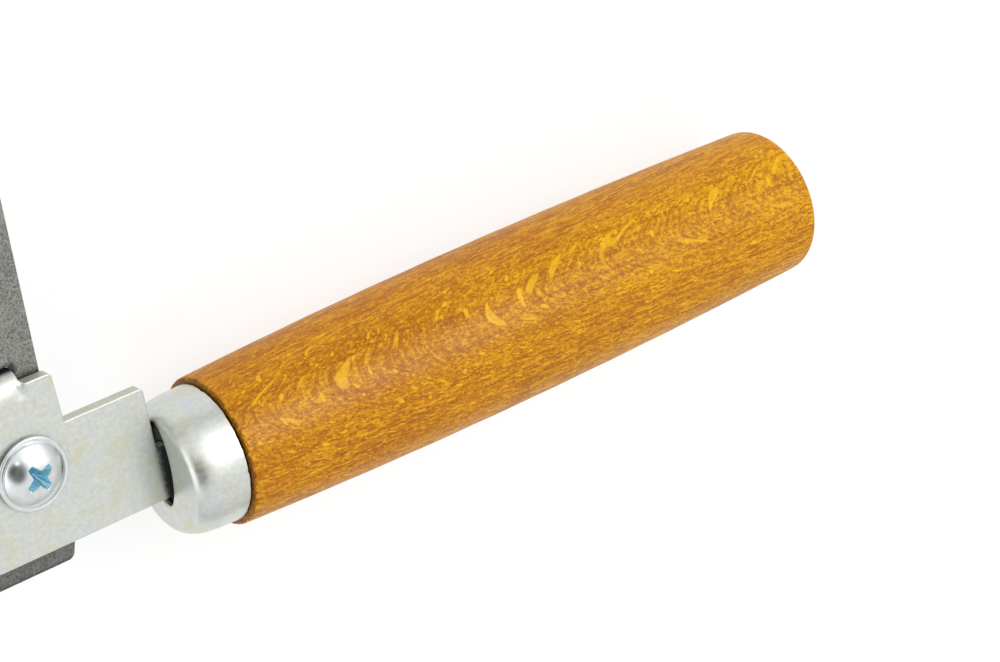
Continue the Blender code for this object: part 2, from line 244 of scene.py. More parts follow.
class Graph:
    """Short way to write a material: a call adds nodes and returns the sockets that they give."""

    def __init__(self, owner):
        self.owner = owner
        owner.use_nodes = True
        self.tree = owner.node_tree
        self.shader = self.tree.nodes.get("Principled BSDF") or self.tree.nodes["Background"]

    def add(self, kind, inputs, output=0, **settings):
        node = self.tree.nodes.new(kind)
        for key, value in settings.items():
            setattr(node, key, value)
        for key, value in inputs.items():
            self.feed(node.inputs[key], value)
        return node.outputs[output]

    def feed(self, socket, value):
        if isinstance(value, bpy.types.NodeSocket):
            self.tree.links.new(value, socket)
        else:
            socket.default_value = value

    def finish(self, **inputs):
        for key, value in inputs.items():
            self.feed(self.shader.inputs[key.replace("_", " ")], value)
        return self.owner

    def place(self, centre, along=(1, 0, 0), across=(0, 1, 0), up=(0, 0, 1)):
        """Position in millimetres from a centre, along three directions."""
        position = self.add("ShaderNodeTexCoord", {}, output="Object")
        offset = self.add("ShaderNodeVectorMath", {0: position, 1: tuple(np.array(centre) * MM)},
                          operation="SUBTRACT")
        parts = []
        for direction in (along, across, up):
            parts.append(self.add("ShaderNodeVectorMath", {0: offset, 1: tuple(np.array(direction) / MM)},
                                  output="Value", operation="DOT_PRODUCT"))
        return parts

    def vector(self, x, y, z):
        return self.add("ShaderNodeCombineXYZ", {0: x, 1: y, 2: z})

    def math(self, operation, a, b=0.0):
        return self.add("ShaderNodeMath", {0: a, 1: b}, operation=operation)

    def stretched(self, parts, lengths):
        """A texture position whose cells have these lengths in millimetres."""
        return self.vector(*[self.math("DIVIDE", part, length) for part, length in zip(parts, lengths)])

    def noise(self, position, scale=1.0, detail=2.0, roughness=0.5, distortion=0.0):
        return self.add("ShaderNodeTexNoise", {"Vector": position, "Scale": scale, "Detail": detail,
                                               "Roughness": roughness, "Distortion": distortion})

    def cells(self, position):
        """The distance to the nearest of points that are scattered about one unit apart."""
        return self.add("ShaderNodeTexVoronoi", {"Vector": position, "Scale": 1.0}, output="Distance")

    def spread(self, value, low, high, to_low=0.0, to_high=1.0):
        """A value from low..high mapped smoothly to to_low..to_high."""
        return self.add("ShaderNodeMapRange", {0: value, 1: low, 2: high, 3: to_low, 4: to_high},
                        interpolation_type="SMOOTHSTEP")

    def blend(self, factor, a, b):
        """The color a, turned into b by a factor."""
        node = self.tree.nodes.new("ShaderNodeMix")
        node.data_type = "RGBA"
        for key, value in ((0, factor), (6, a), (7, b)):
            if isinstance(value, tuple) and len(value) == 3:
                value = (*value, 1.0)
            self.feed(node.inputs[key], value)
        return node.outputs[2]

    def tint(self, color, tone, value, start, full, amount=1.0, where=None):
        """A color that takes on up to an amount of a tone as a value goes from start to full. A mask
        can keep it to some places."""
        factor = self.spread(value, start, full, 0.0, amount)
        if where is not None:
            factor = self.math("MULTIPLY", factor, where)
        return self.blend(factor, color, tone)

    def bump(self, height, distance, strength, normal=None):
        inputs = {"Height": height, "Distance": distance * MM, "Strength": strength}
        if normal is not None:
            inputs["Normal"] = normal
        return self.add("ShaderNodeBump", inputs)


# ---------------------------------------------------------------- materials

BEECH_AMBER = (0.490, 0.168, 0.0012)
BEECH_LIGHT = (0.622, 0.262, 0.0014)
BEECH_PALE = (0.775, 0.375, 0.0018)
BEECH_YELLOW = (0.860, 0.485, 0.010)
BEECH_BROWN = (0.340, 0.102, 0.002)
BEECH_RED = (0.520, 0.140, 0.003)
BEECH_PORE = (0.165, 0.045, 0.002)
WORN_BROWN = (0.20, 0.072, 0.010)
WORN_DARK = (0.060, 0.022, 0.006)
BARE_EDGE = (0.150, 0.058, 0.014)
# The colour of the painted shade on the spigot inside the ferrule.
WOOD_PAINTED_SHADE = (0.016, 0.014, 0.012)
RAY_TURN = math.radians(36)
RAY_LEAN = 0.13


def beech_material():
    """Varnished beech. Its rays are thin ribbons: they show as crescents where the turned surface meets
    them flat, and as short dashes elsewhere."""
    g = Graph(bpy.data.materials.new("varnished_beech"))
    ray_normal = (RAY_LEAN, math.sin(RAY_TURN), math.cos(RAY_TURN))
    radial = (0.0, math.cos(RAY_TURN), -math.sin(RAY_TURN))
    along, across, depth = g.place((HANDLE_LOW[0], AXIS_Y, AXIS_Z), (1, 0, 0), radial, ray_normal)
    raw = (along, across, depth)
    drift = g.noise(g.stretched(raw, (30, 14, 14)), detail=2.0)
    depth = g.math("ADD", depth, g.math("MULTIPLY", drift, 1.6))
    wave = g.noise(g.stretched(raw, (3.0, 5.0, 5.0)), detail=1.0)
    across = g.math("ADD", across, g.math("MULTIPLY", wave, 0.8))
    parts = (along, across, depth)

    body = g.noise(g.stretched(parts, (30, 4.0, 7)), detail=3.0, roughness=0.55)
    rings = g.noise(g.stretched(parts, (26, 0.9, 7)), detail=3.0, roughness=0.6)
    mottle = g.noise(g.stretched(parts, (1.0, 0.50, 0.42)), detail=3.0, roughness=0.65)
    ember = g.noise(g.stretched(parts, (2.6, 1.1, 1.0)), detail=3.0, roughness=0.65)
    rays = g.noise(g.stretched(parts, (1.5, 4.0, 0.15)), detail=3.0, roughness=0.6)
    arcs = g.noise(g.stretched(parts, (12.0, 7.0, 0.13)), detail=2.0, roughness=0.6)
    fine = g.noise(g.stretched(parts, (0.55, 0.20, 0.16)), detail=2.0, roughness=0.6)
    dashes = g.noise(g.stretched(parts, (2.1, 5.0, 0.42)), detail=1.0, roughness=0.4)
    broad = g.noise(g.stretched(parts, (9.0, 6.5, 0.42)), detail=0.0)
    streaks = g.noise(g.stretched(parts, (6.0, 0.50, 0.60)), detail=4.0, roughness=0.65)
    flat_cut = g.spread(g.math("ABSOLUTE", g.math("SUBTRACT", across, 0.5)), 6.5, 4.0)
    slash_cut = g.spread(across, 11.0, 6.0, 0.60, 1.0)
    side_cut = g.spread(g.math("ABSOLUTE", across), 5.0, 9.0)

    color = g.tint(BEECH_AMBER, BEECH_LIGHT, body, 0.38, 0.62)
    color = g.tint(color, BEECH_PALE, along, 30.0, 150.0, 0.75)
    color = g.blend(g.math("MULTIPLY", side_cut, 0.30), color, BEECH_RED)
    color = g.tint(color, BEECH_BROWN, rings, 0.48, 0.68, 0.70)
    color = g.tint(color, BEECH_RED, ember, 0.50, 0.70, 0.60)
    color = g.tint(color, BEECH_BROWN, mottle, 0.50, 0.36, 0.80, where=slash_cut)
    color = g.tint(color, BEECH_YELLOW, mottle, 0.52, 0.68, 0.70, where=slash_cut)
    color = g.tint(color, BEECH_BROWN, rays, 0.50, 0.32, 0.50, where=slash_cut)
    color = g.tint(color, BEECH_YELLOW, rays, 0.54, 0.70, 0.40, where=slash_cut)
    color = g.tint(color, BEECH_BROWN, arcs, 0.52, 0.66, 0.60, where=flat_cut)
    color = g.tint(color, BEECH_BROWN, streaks, 0.49, 0.62, 0.75, where=side_cut)
    color = g.tint(color, BEECH_YELLOW, streaks, 0.46, 0.34, 0.50, where=side_cut)
    color = g.tint(color, BEECH_PORE, fine, 0.55, 0.72, 0.65)
    color = g.tint(color, BEECH_YELLOW, fine, 0.44, 0.28, 0.45)
    color = g.tint(color, BEECH_YELLOW, dashes, 0.675, 0.73, 0.70, where=slash_cut)
    color = g.tint(color, BEECH_YELLOW, broad, 0.675, 0.75, 0.60, where=flat_cut)
    color = wear_and_painted_shade_at_shoulder(g, color, parts)

    lacquer = g.noise(g.stretched(raw, (5, 4, 4)), detail=3.0)
    height = g.math("ADD", g.math("MULTIPLY", fine, -0.5), g.math("MULTIPLY", rays, 0.5))
    normal = g.bump(height, 0.05, 0.5)
    coat_normal = g.bump(lacquer, 0.10, 0.6, g.bump(height, 0.03, 0.6))
    return g.finish(Base_Color=color, Roughness=0.6, Normal=normal, Specular_IOR_Level=0.0,
                    Coat_Weight=0.40, Coat_Roughness=g.spread(lacquer, 0.3, 0.7, 0.23, 0.32),
                    Coat_IOR=1.5, Coat_Normal=coat_normal)


def wear_and_painted_shade_at_shoulder(g, color, parts):
    """The wood's edge at the ferrule, rubbed dark and ragged, with painted shade on the spigot behind it.
    """
    along = parts[0]
    shoulder = WOOD_START - HANDLE_LOW[0]
    chafe = g.noise(g.stretched(parts, (1.1, 0.9, 0.9)), detail=4.0, roughness=0.75)
    edge = g.math("SUBTRACT", along, g.math("MULTIPLY", chafe, 1.6))
    arris = g.math("ABSOLUTE", g.math("SUBTRACT", edge, shoulder - 0.90))
    color = g.tint(color, WORN_BROWN, edge, shoulder - 0.60, shoulder - 1.10, 0.50)
    color = g.tint(color, WORN_DARK, arris, 0.40, 0.05, 0.60)
    color = g.tint(color, BARE_EDGE, along, shoulder + 0.05, shoulder - 0.05, 0.75)
    # Painted shade: the spigot inside the ferrule is darkened almost to black.
    return g.tint(color, WOOD_PAINTED_SHADE, along, shoulder - 0.3, shoulder - 2.0)


SHEET_TOP_AT_SCREW = (SCREW_X, SCREW_Y, SHEET_TOP)
# The colour of the painted shade on the zinc.
ZINC_PAINTED_SHADE = (0.03, 0.03, 0.028)


def zinc_material(name, lines, smoothest, roughest, painted_shade=0.0):
    """Zinc plate: satin, with faint yellow and blue passivation stains and draw lines along X. Painted
    shade, if there is any, darkens the tab low down in the blade's slot and the tang where it enters the
    ferrule."""
    g = Graph(bpy.data.materials.new(name))
    parts = g.place(SHEET_TOP_AT_SCREW)
    stain = g.noise(g.stretched(parts, (6.0, 4.5, 4.5)), detail=4.0, roughness=0.65, distortion=0.6)
    blue = g.noise(g.stretched(parts, (3.6, 6.0, 6.0)), detail=3.0, roughness=0.6)
    mottle = g.noise(g.stretched(parts, (1.0, 0.8, 0.8)), detail=4.0, roughness=0.7)
    draw = g.noise(g.stretched(parts, (14.0, 0.22, 0.22)), detail=2.0, roughness=0.6)

    color = g.tint((0.575, 0.598, 0.560), (0.680, 0.708, 0.665), mottle, 0.3, 0.7)
    color = g.tint(color, (0.620, 0.600, 0.440), stain, 0.48, 0.68, 0.62)
    color = g.tint(color, (0.570, 0.630, 0.675), blue, 0.50, 0.70, 0.60)
    color = g.tint(color, (0.70, 0.72, 0.70), draw, 0.58, 0.75, lines)
    # Painted shade: the tab low in the blade's slot and the tang at the ferrule's mouth are darkened
    # towards black.
    if painted_shade:
        low = g.spread(parts[2], -1.9, -2.9)
        past_edge = g.spread(parts[1], HIGH_LEVEL - 0.4, HIGH_LEVEL + 0.4)
        mouth = FERRULE_LOW[0] - SCREW_X
        ragged_x = g.math("ADD", parts[0], g.math("MULTIPLY", mottle, 3.0))
        entry = g.spread(ragged_x, mouth + 0.2, mouth + 1.9)
        painted_shade_mask = g.math("MAXIMUM", g.math("MULTIPLY", low, past_edge), g.math("MULTIPLY", entry, 0.85))
        color = g.blend(g.math("MULTIPLY", painted_shade_mask, painted_shade), color, ZINC_PAINTED_SHADE)

    rough = g.math("ADD", g.spread(mottle, 0.3, 0.7, smoothest, roughest),
                   g.spread(stain, 0.5, 0.7, 0.0, 0.06))
    height = g.math("ADD", g.math("MULTIPLY", mottle, 0.5), g.math("MULTIPLY", draw, lines))
    return g.finish(Base_Color=color, Metallic=0.85, Roughness=rough, Normal=g.bump(height, 0.03, 0.28))


def sheared_zinc_material():
    """The sheet's cut edges: duller, with the shear's fine upright marks."""
    g = Graph(bpy.data.materials.new("sheared_zinc"))
    parts = g.place(SHEET_TOP_AT_SCREW)
    marks = g.noise(g.stretched(parts, (0.4, 0.4, 3.5)), detail=3.0, roughness=0.6)
    cloud = g.noise(g.stretched(parts, (3, 3, 3)), detail=3.0)
    color = g.tint((0.50, 0.50, 0.42), (0.56, 0.56, 0.49), marks, 0.35, 0.7)
    color = g.tint(color, (0.55, 0.53, 0.42), cloud, 0.45, 0.7, 0.5)
    return g.finish(Base_Color=color, Metallic=0.6, Roughness=0.5, Normal=g.bump(marks, 0.04, 0.4))


def bright_zinc_material():
    """The fasteners' blue-white zinc, smoother than the sheet's."""
    g = Graph(bpy.data.materials.new("bright_zinc"))
    parts = g.place(SHEET_TOP_AT_SCREW)
    cloud = g.noise(g.stretched(parts, (2.2, 2.2, 2.2)), detail=3.0)
    fine = g.noise(g.stretched(parts, (0.25, 0.25, 0.25)), detail=3.0, roughness=0.6)
    color = g.tint((0.66, 0.69, 0.69), (0.73, 0.77, 0.79), cloud, 0.35, 0.65)
    rough = g.spread(cloud, 0.3, 0.7, 0.15, 0.24)
    return g.finish(Base_Color=color, Metallic=0.95, Roughness=rough, Normal=g.bump(fine, 0.01, 0.25))


def recess_material():
    """The screw's recess, where the passivation is a strong blue."""
    g = Graph(bpy.data.materials.new("blue_recess"))
    parts = g.place(SHEET_TOP_AT_SCREW)
    cloud = g.noise(g.stretched(parts, (0.8, 0.8, 0.8)), detail=3.0)
    color = g.tint((0.23, 0.50, 0.63), (0.38, 0.64, 0.75), cloud, 0.3, 0.7)
    return g.finish(Base_Color=color, Metallic=0.65, Roughness=0.28, Normal=g.bump(cloud, 0.06, 0.5))


# Colours of the painted shade and painted shadow on the blade.
STEEL_PAINTED_SHADE = (0.030, 0.030, 0.034)
STEEL_PAINTED_SHADOW = (0.040, 0.044, 0.048)


def blasted_steel_material():
    """Blasted dark steel: matt grains of uneven tone."""
    g = Graph(bpy.data.materials.new("blasted_steel"))
    parts = g.place((SCREW_X, SCREW_Y, 0))
    cloud = g.noise(g.stretched(parts, (16, 16, 16)), detail=3.0, roughness=0.6)
    clump = g.noise(g.stretched(parts, (1.3, 1.3, 1.3)), detail=3.0, roughness=0.6)
    grain = g.noise(g.stretched(parts, (0.42, 0.42, 0.42)), detail=4.0, roughness=0.7)
    pit = g.cells(g.stretched(parts, (0.55, 0.55, 0.55)))
    brush = g.noise(g.stretched(parts, (0.35, 2.2, 0.35)), detail=3.0, roughness=0.6)
    color = g.tint((0.175, 0.178, 0.164), (0.235, 0.238, 0.218), cloud, 0.3, 0.7)
    color = g.tint(color, (0.090, 0.092, 0.088), clump, 0.52, 0.70, 0.6)
    color = g.tint(color, (0.300, 0.300, 0.275), clump, 0.48, 0.32, 0.6)
    color = g.tint(color, (0.39, 0.39, 0.36), grain, 0.44, 0.68, 0.8)
    color = g.tint(color, (0.055, 0.057, 0.054), grain, 0.48, 0.30, 0.85)
    color = g.tint(color, (0.29, 0.29, 0.27), brush, 0.55, 0.72, 0.35)
    color = g.tint(color, (0.050, 0.052, 0.050), pit, 0.22, 0.05, 0.5)
    # Painted shade round the slot, beside the bracket and along the long edge.
    color = paint_blade_shade(g, color, parts, clump)
    height = g.math("ADD", grain, g.math("MULTIPLY", pit, 0.5))
    return g.finish(Base_Color=color, Metallic=0.55, Roughness=g.spread(grain, 0.3, 0.7, 0.50, 0.66),
                    Normal=g.bump(height, 0.12, 0.6))


def paint_blade_shade(g, color, parts, clump):
    """Painted shade: ragged and dark round the tab's slot and along the bracket's sides, and, on the top
    face, a painted shadow on the heel beside the tang and a dark line of painted shade at the long edge."""
    x, y, z = parts
    past_sides = g.math("SUBTRACT", g.math("ABSOLUTE", g.math("SUBTRACT", x, (TAB_LOW + TAB_HIGH) / 2)),
                        (TAB_HIGH - TAB_LOW) / 2)
    past_ends = g.math("MAXIMUM", g.math("SUBTRACT", y, TAB_TOP), g.math("SUBTRACT", SLOT_START, y))
    past_slot = g.math("MAXIMUM", past_sides, past_ends)
    past_bracket = g.math("MAXIMUM", g.math("MAXIMUM", g.math("SUBTRACT", y, HIGH_LEVEL),
                                            g.math("SUBTRACT", TANG_LOW, y)),
                          g.math("SUBTRACT", BRACKET_FRONT, x))
    ragged = g.math("MULTIPLY", clump, 1.6)
    on_top = g.spread(z, BLADE_HIGH[2] - 1.0, BLADE_HIGH[2] - 0.5)
    slot_shade = g.spread(g.math("ADD", past_slot, ragged), 2.1, 1.0, 0.0, 0.92)
    bracket_side_shade = g.spread(g.math("ADD", past_bracket, ragged), 2.0, 0.8, 0.0, 0.80)
    # Painted shade round the slot and along the bracket's sides.
    painted_shade = g.math("MAXIMUM", slot_shade, g.math("MULTIPLY", bracket_side_shade, on_top))
    color = g.blend(painted_shade, color, STEEL_PAINTED_SHADE)

    # Painted shadow of the bracket on the heel beside the tang.
    near_bracket = g.math("MULTIPLY", on_top, g.spread(x, BRACKET_FRONT - 8.0, BRACKET_FRONT + 1.0))
    color = g.tint(color, STEEL_PAINTED_SHADOW, y, TANG_LOW + 0.3, TANG_LOW - 0.3, 0.38, where=near_bracket)
    # Painted shade: a dark line along the long edge, where the rolled edge turns away.
    past_edge = g.math("SUBTRACT", y, BLADE_LOW[1] - SCREW_Y)
    return g.tint(color, STEEL_PAINTED_SHADOW, past_edge, 0.75, 0.35, 0.5, where=on_top)


# ---------------------------------------------------------------- handle

WOOD_LENGTH = 138.0
WOOD_START = HANDLE_HIGH[0] - WOOD_LENGTH
WOOD_END = HANDLE_HIGH[0]
BELLY_RADIUS = (HANDLE_HIGH[1] - HANDLE_LOW[1]) / 2
WOOD_START_RADIUS = 14.2
BUTT_RADIUS = 15.0
BELLY_AT = 0.53
BUTT_ROUNDING = 2.0
BUTT_CROWN = 0.08
SHOULDER_ROUNDING = 0.55
OUT_OF_ROUND = 0.03
LATHE_WAVE = 0.02
MORTISE_ROOM = 1.0


def barrel_radius(share):
    """Radius at a share of the wood's length: two half parabolas that meet at the belly."""
    end_radius = WOOD_START_RADIUS if share < BELLY_AT else BUTT_RADIUS
    end = 0.0 if share < BELLY_AT else 1.0
    return BELLY_RADIUS - (BELLY_RADIUS - end_radius) * ((share - BELLY_AT) / (end - BELLY_AT)) ** 2


def handle_profile():
    """(distance, radius) from the spigot's face, over the barrel, to the butt's middle."""
    length = WOOD_END - WOOD_START
    spigot_front = ferrule_radius(FERRULE_LOW[0] + FERRULE_WALL + FIT_GAP) - FERRULE_WALL - FIT_GAP
    spigot_back = ferrule_radius(FERRULE_HIGH[0]) - FERRULE_WALL - FIT_GAP
    # The spigot's face, its rounded edge and its side, all hidden in the ferrule.
    profile = [(HANDLE_LOW[0], radius) for radius in np.linspace(1.0, spigot_front - 1.2, 8)]
    profile += [(HANDLE_LOW[0] + 0.6, spigot_front - 0.4), (HANDLE_LOW[0] + 1.5, spigot_front)]
    profile += [(WOOD_START, spigot_back), (WOOD_START, spigot_back + 0.8)]
    for step in range(1, 8):
        angle = math.pi / 2 * step / 7
        share = SHOULDER_ROUNDING / length
        profile.append((WOOD_START + SHOULDER_ROUNDING * (1 - math.cos(angle)),
                        barrel_radius(share) - SHOULDER_ROUNDING * (1 - math.sin(angle))))
    shares = np.linspace(0.012, 1 - BUTT_ROUNDING / length, 130)
    profile += [(WOOD_START + share * length, barrel_radius(share)) for share in shares]
    butt = profile[-1][1]
    for step in range(1, 10):
        angle = math.pi / 2 * step / 9
        profile.append((WOOD_END - BUTT_ROUNDING * (1 - math.sin(angle)),
                        butt - BUTT_ROUNDING * (1 - math.cos(angle))))
    face_radius = profile[-1][1]
    for share in np.linspace(0.92, 0.04, 12):
        profile.append((WOOD_END - BUTT_CROWN * (1 - share ** 4), face_radius * share))
    return profile


def lathe_wander(distance, angle):
    """How far the turned wood falls inside its profile: a little out of round, with faint waves, and
    true near the shoulder."""
    wander = OUT_OF_ROUND * np.sin(2 * angle + distance / 31) + LATHE_WAVE * math.sin(distance / 2.3)
    return np.minimum(wander, 0.0) * min(1.0, (distance - WOOD_START - 1.0) / 4.0)


def make_handle(material):
    segments = 200
    rings = []
    for distance, radius in handle_profile():
        on_barrel = distance > WOOD_START + 1.0 and radius > BUTT_RADIUS - BUTT_ROUNDING - 0.2
        wander = lathe_wander(distance, round_angles(segments)) if on_barrel else 0.0
        rings.append(ring_about_x(distance, radius + wander, segments))
    handle = new_piece("turned_handle", loft(rings), [material], smooth_angle=40)
    front, end = HANDLE_LOW[0] - 5.0, BRACKET_HIGH[0] + MORTISE_ROOM
    near = SCREW_Y + TANG_LOW - FIT_GAP
    far = SCREW_Y + TANG_LOW + TANG_WIDTH + FIT_GAP
    mortise = plate([(front, near), (end, near), (end, far), (front, far)],
                    SHEET_FLOOR - FIT_GAP, SHEET_TOP + FIT_GAP)
    cut(handle, new_piece("mortise", mortise, []))
    finish_piece(handle, "handle")


# ---------------------------------------------------------------- ferrule

FERRULE_WALL = 1.0
FERRULE_ROUNDING = 1.8
FERRULE_SHOULDER = 4.6
FERRULE_SWELL = 0.1  # the cone is fuller than the CAD's at its back, before the rim is drawn in
FERRULE_FRONT_RADIUS = 12.45
FERRULE_BACK_RADIUS = (FERRULE_HIGH[1] - FERRULE_LOW[1]) / 2 + FERRULE_SWELL
RIM_CRIMP = 0.20
RIM_TRIM = 0.09
NICK_COUNT = 9
LIP_ROUNDING = 0.45
OPENING_HALF_LENGTH = 8.6
OPENING_HALF_WIDTH = 3.5
OPENING_SHIFT = 2.1


def ferrule_radius(distance):
    """The drawn cone, drawn in slightly over its back half where it grips the wood."""
    share = (distance - FERRULE_LOW[0]) / (FERRULE_HIGH[0] - FERRULE_LOW[0])
    cone = FERRULE_FRONT_RADIUS + (FERRULE_BACK_RADIUS - FERRULE_FRONT_RADIUS) * share
    return cone - RIM_CRIMP * smooth((share - 0.5) / 0.5)


def ragged_rim(angle):
    """The trimmed rim's offset along X: slightly wavy, with a few nicks, and never past the length."""
    rim = 0.035 * np.sin(7 * angle + 1.0) + 0.03 * np.sin(19 * angle + 2.0) + 0.02 * np.sin(43 * angle)
    nicks = zip(RNG.uniform(0, TAU, NICK_COUNT), RNG.uniform(0.08, 0.30, NICK_COUNT),
                RNG.uniform(0.025, 0.07, NICK_COUNT))
    for spot, depth, width in nicks:
        gap = np.abs((angle - spot + math.pi) % TAU - math.pi)
        rim -= depth * np.exp(-(gap / width) ** 2)
    return np.minimum(rim - RIM_TRIM, 0.0)


def make_ferrule(material):
    """A drawn cup: an oval lip, a flat face, a rounded shoulder and a trimmed, slightly ragged rim."""
    segments = 240
    angle = round_angles(segments)
    front, back = FERRULE_LOW[0], FERRULE_HIGH[0]

    def flat(distance, share, inset=0.0):
        """A ring of the front face between the oval opening and the rounded shoulder."""
        oval = np.stack([OPENING_SHIFT + (OPENING_HALF_LENGTH + inset) * np.sin(angle),
                         (OPENING_HALF_WIDTH + inset) * np.cos(angle)], axis=1)
        edge_radius = FERRULE_FRONT_RADIUS - FERRULE_ROUNDING
        edge = np.stack([edge_radius * np.sin(angle), edge_radius * np.cos(angle)], axis=1)
        spot = oval * (1 - share) + edge * share
        return np.stack([distance + 0 * angle, AXIS_Y + spot[:, 0], AXIS_Z + spot[:, 1]], axis=1)

    rings = []
    for step in range(7):
        turn = math.pi / 2 * step / 6
        rings.append(flat(front + LIP_ROUNDING * (1 - math.sin(turn)), 0.0,
                          LIP_ROUNDING * (1 - math.cos(turn))))
    rings += [flat(front, share, LIP_ROUNDING * (1 - share)) for share in (0.2, 0.4, 0.6, 0.8, 0.93)]
    for step in range(19):
        turn = math.pi / 2 * step / 18
        distance = front + FERRULE_SHOULDER * (1 - math.cos(turn))
        radius = ferrule_radius(distance) - FERRULE_ROUNDING * (1 - math.sin(turn))
        rings.append(ring_about_x(distance, radius, segments))
    rim = ragged_rim(angle)
    start = front + FERRULE_SHOULDER
    for share in np.linspace(0.08, 1.0, 16)[:-1]:
        distance = start + (back - start) * share
        rings.append(ring_about_x(distance + rim * share ** 3, ferrule_radius(distance), segments))
    for before, inside in ((0.12, 0.02), (0.0, 0.14), (0.0, FERRULE_WALL - 0.1)):
        rings.append(ring_about_x(back - before + rim, ferrule_radius(back) - inside, segments))
    for share in np.linspace(0.97, 0.0, 10):
        distance = start + (back - start) * share
        rings.append(ring_about_x(distance + rim * share, ferrule_radius(distance) - FERRULE_WALL,
                                  segments))
    inner_shoulder, inner_rounding = FERRULE_SHOULDER - FERRULE_WALL, FERRULE_ROUNDING - FERRULE_WALL
    for step in range(1, 6):
        turn = math.pi / 2 * (1 - step / 5)
        radius = ferrule_radius(start) - FERRULE_WALL - inner_rounding * (1 - math.sin(turn))
        rings.append(ring_about_x(start - inner_shoulder * math.cos(turn), radius, segments))
    rings += [flat(front + FERRULE_WALL, share) for share in (0.7, 0.35, 0.0)]
    ferrule = new_piece("drawn_ferrule", loft(rings, closed=True), [material], smooth_angle=40)
    finish_piece(ferrule, "ferrule")


# ---------------------------------------------------------------- bracket

TANG_LOW = -15.65
TANG_WIDTH = 10.0
BRACKET_FRONT = -12.0
STEP_LEVEL = 6.45
HIGH_LEVEL = 15.95
SHOULDER_HEAD = 23.88
SHOULDER_FOOT = 24.28
STEP_FOOT = 8.1
STEP_HEAD = 7.6
TAB_LOW, TAB_HIGH = -6.1, 1.9
TAB_TOP = BRACKET_HIGH[1] - SCREW_Y
TAB_TRIM = 0.8  # keeps the bent tab's end inside the blade's slot
BEND_START = 13.1
BEND_REACH = 0.605  # how far the bend goes along Y, as a share of its length
BEND_LENGTH = (TAB_TOP - SHEET_THICKNESS / 2 - BEND_START) / BEND_REACH
BEND_SPREAD = 1.9
BEND_OUTSIDE = 0.6
SHEET_EDGE = 0.26
DENT_X, DENT_Y = 1.4, 14.5
DENT_DEPTH, DENT_RADIUS = 0.30, 1.25
SLOT_START = 14.2
SLOT_ROOM = 0.35
SLOT_SIDE_ROOM = 0.3


def share_of_bend(x, y):
    """How much of the bend a place takes: all on the tab, and less and less past its sides, where the
    sheet gives way smoothly."""
    side = min(x - TAB_LOW, TAB_HIGH - x) + BEND_OUTSIDE
    free = smooth((y - HIGH_LEVEL + 1.2) / 1.5) * smooth(side / BEND_OUTSIDE)
    return max(free, smooth(side / BEND_SPREAD))


def bend_tab(piece):
    """Rolls the tab back about X, with the press tool's dent at its root."""
    steps = 200
    shares = (np.arange(steps) + 0.5) / steps
    turns = math.pi / 2 * shares * shares * (3 - 2 * shares)
    reach = BEND_LENGTH / steps
    bend_y = np.concatenate([[0.0], np.cumsum(np.cos(turns)) * reach])
    bend_z = np.concatenate([[0.0], -np.cumsum(np.sin(turns)) * reach])
    for vertex in piece.data.vertices:
        x, y, z = vertex.co.x / MM - SCREW_X, vertex.co.y / MM - SCREW_Y, vertex.co.z / MM
        if z > SHEET_MIDDLE:
            apart = math.hypot(x - DENT_X, y - DENT_Y) / DENT_RADIUS
            vertex.co.z -= DENT_DEPTH * math.exp(-apart * apart) * MM
            z = vertex.co.z / MM
        share = (y - BEND_START) / BEND_LENGTH
        if share <= 0:
            continue
        turn = math.pi / 2 * smooth(share)
        height = z - SHEET_MIDDLE
        along_y = np.interp(share * steps, np.arange(steps + 1), bend_y)
        along_z = np.interp(share * steps, np.arange(steps + 1), bend_z)
        bent_y = BEND_START + along_y + height * math.sin(turn)
        bent_z = SHEET_MIDDLE + along_z + height * math.cos(turn)
        hold = share_of_bend(x, y)
        vertex.co.y = (SCREW_Y + y + (bent_y - y) * hold) * MM
        vertex.co.z = (z + (bent_z - z) * hold) * MM


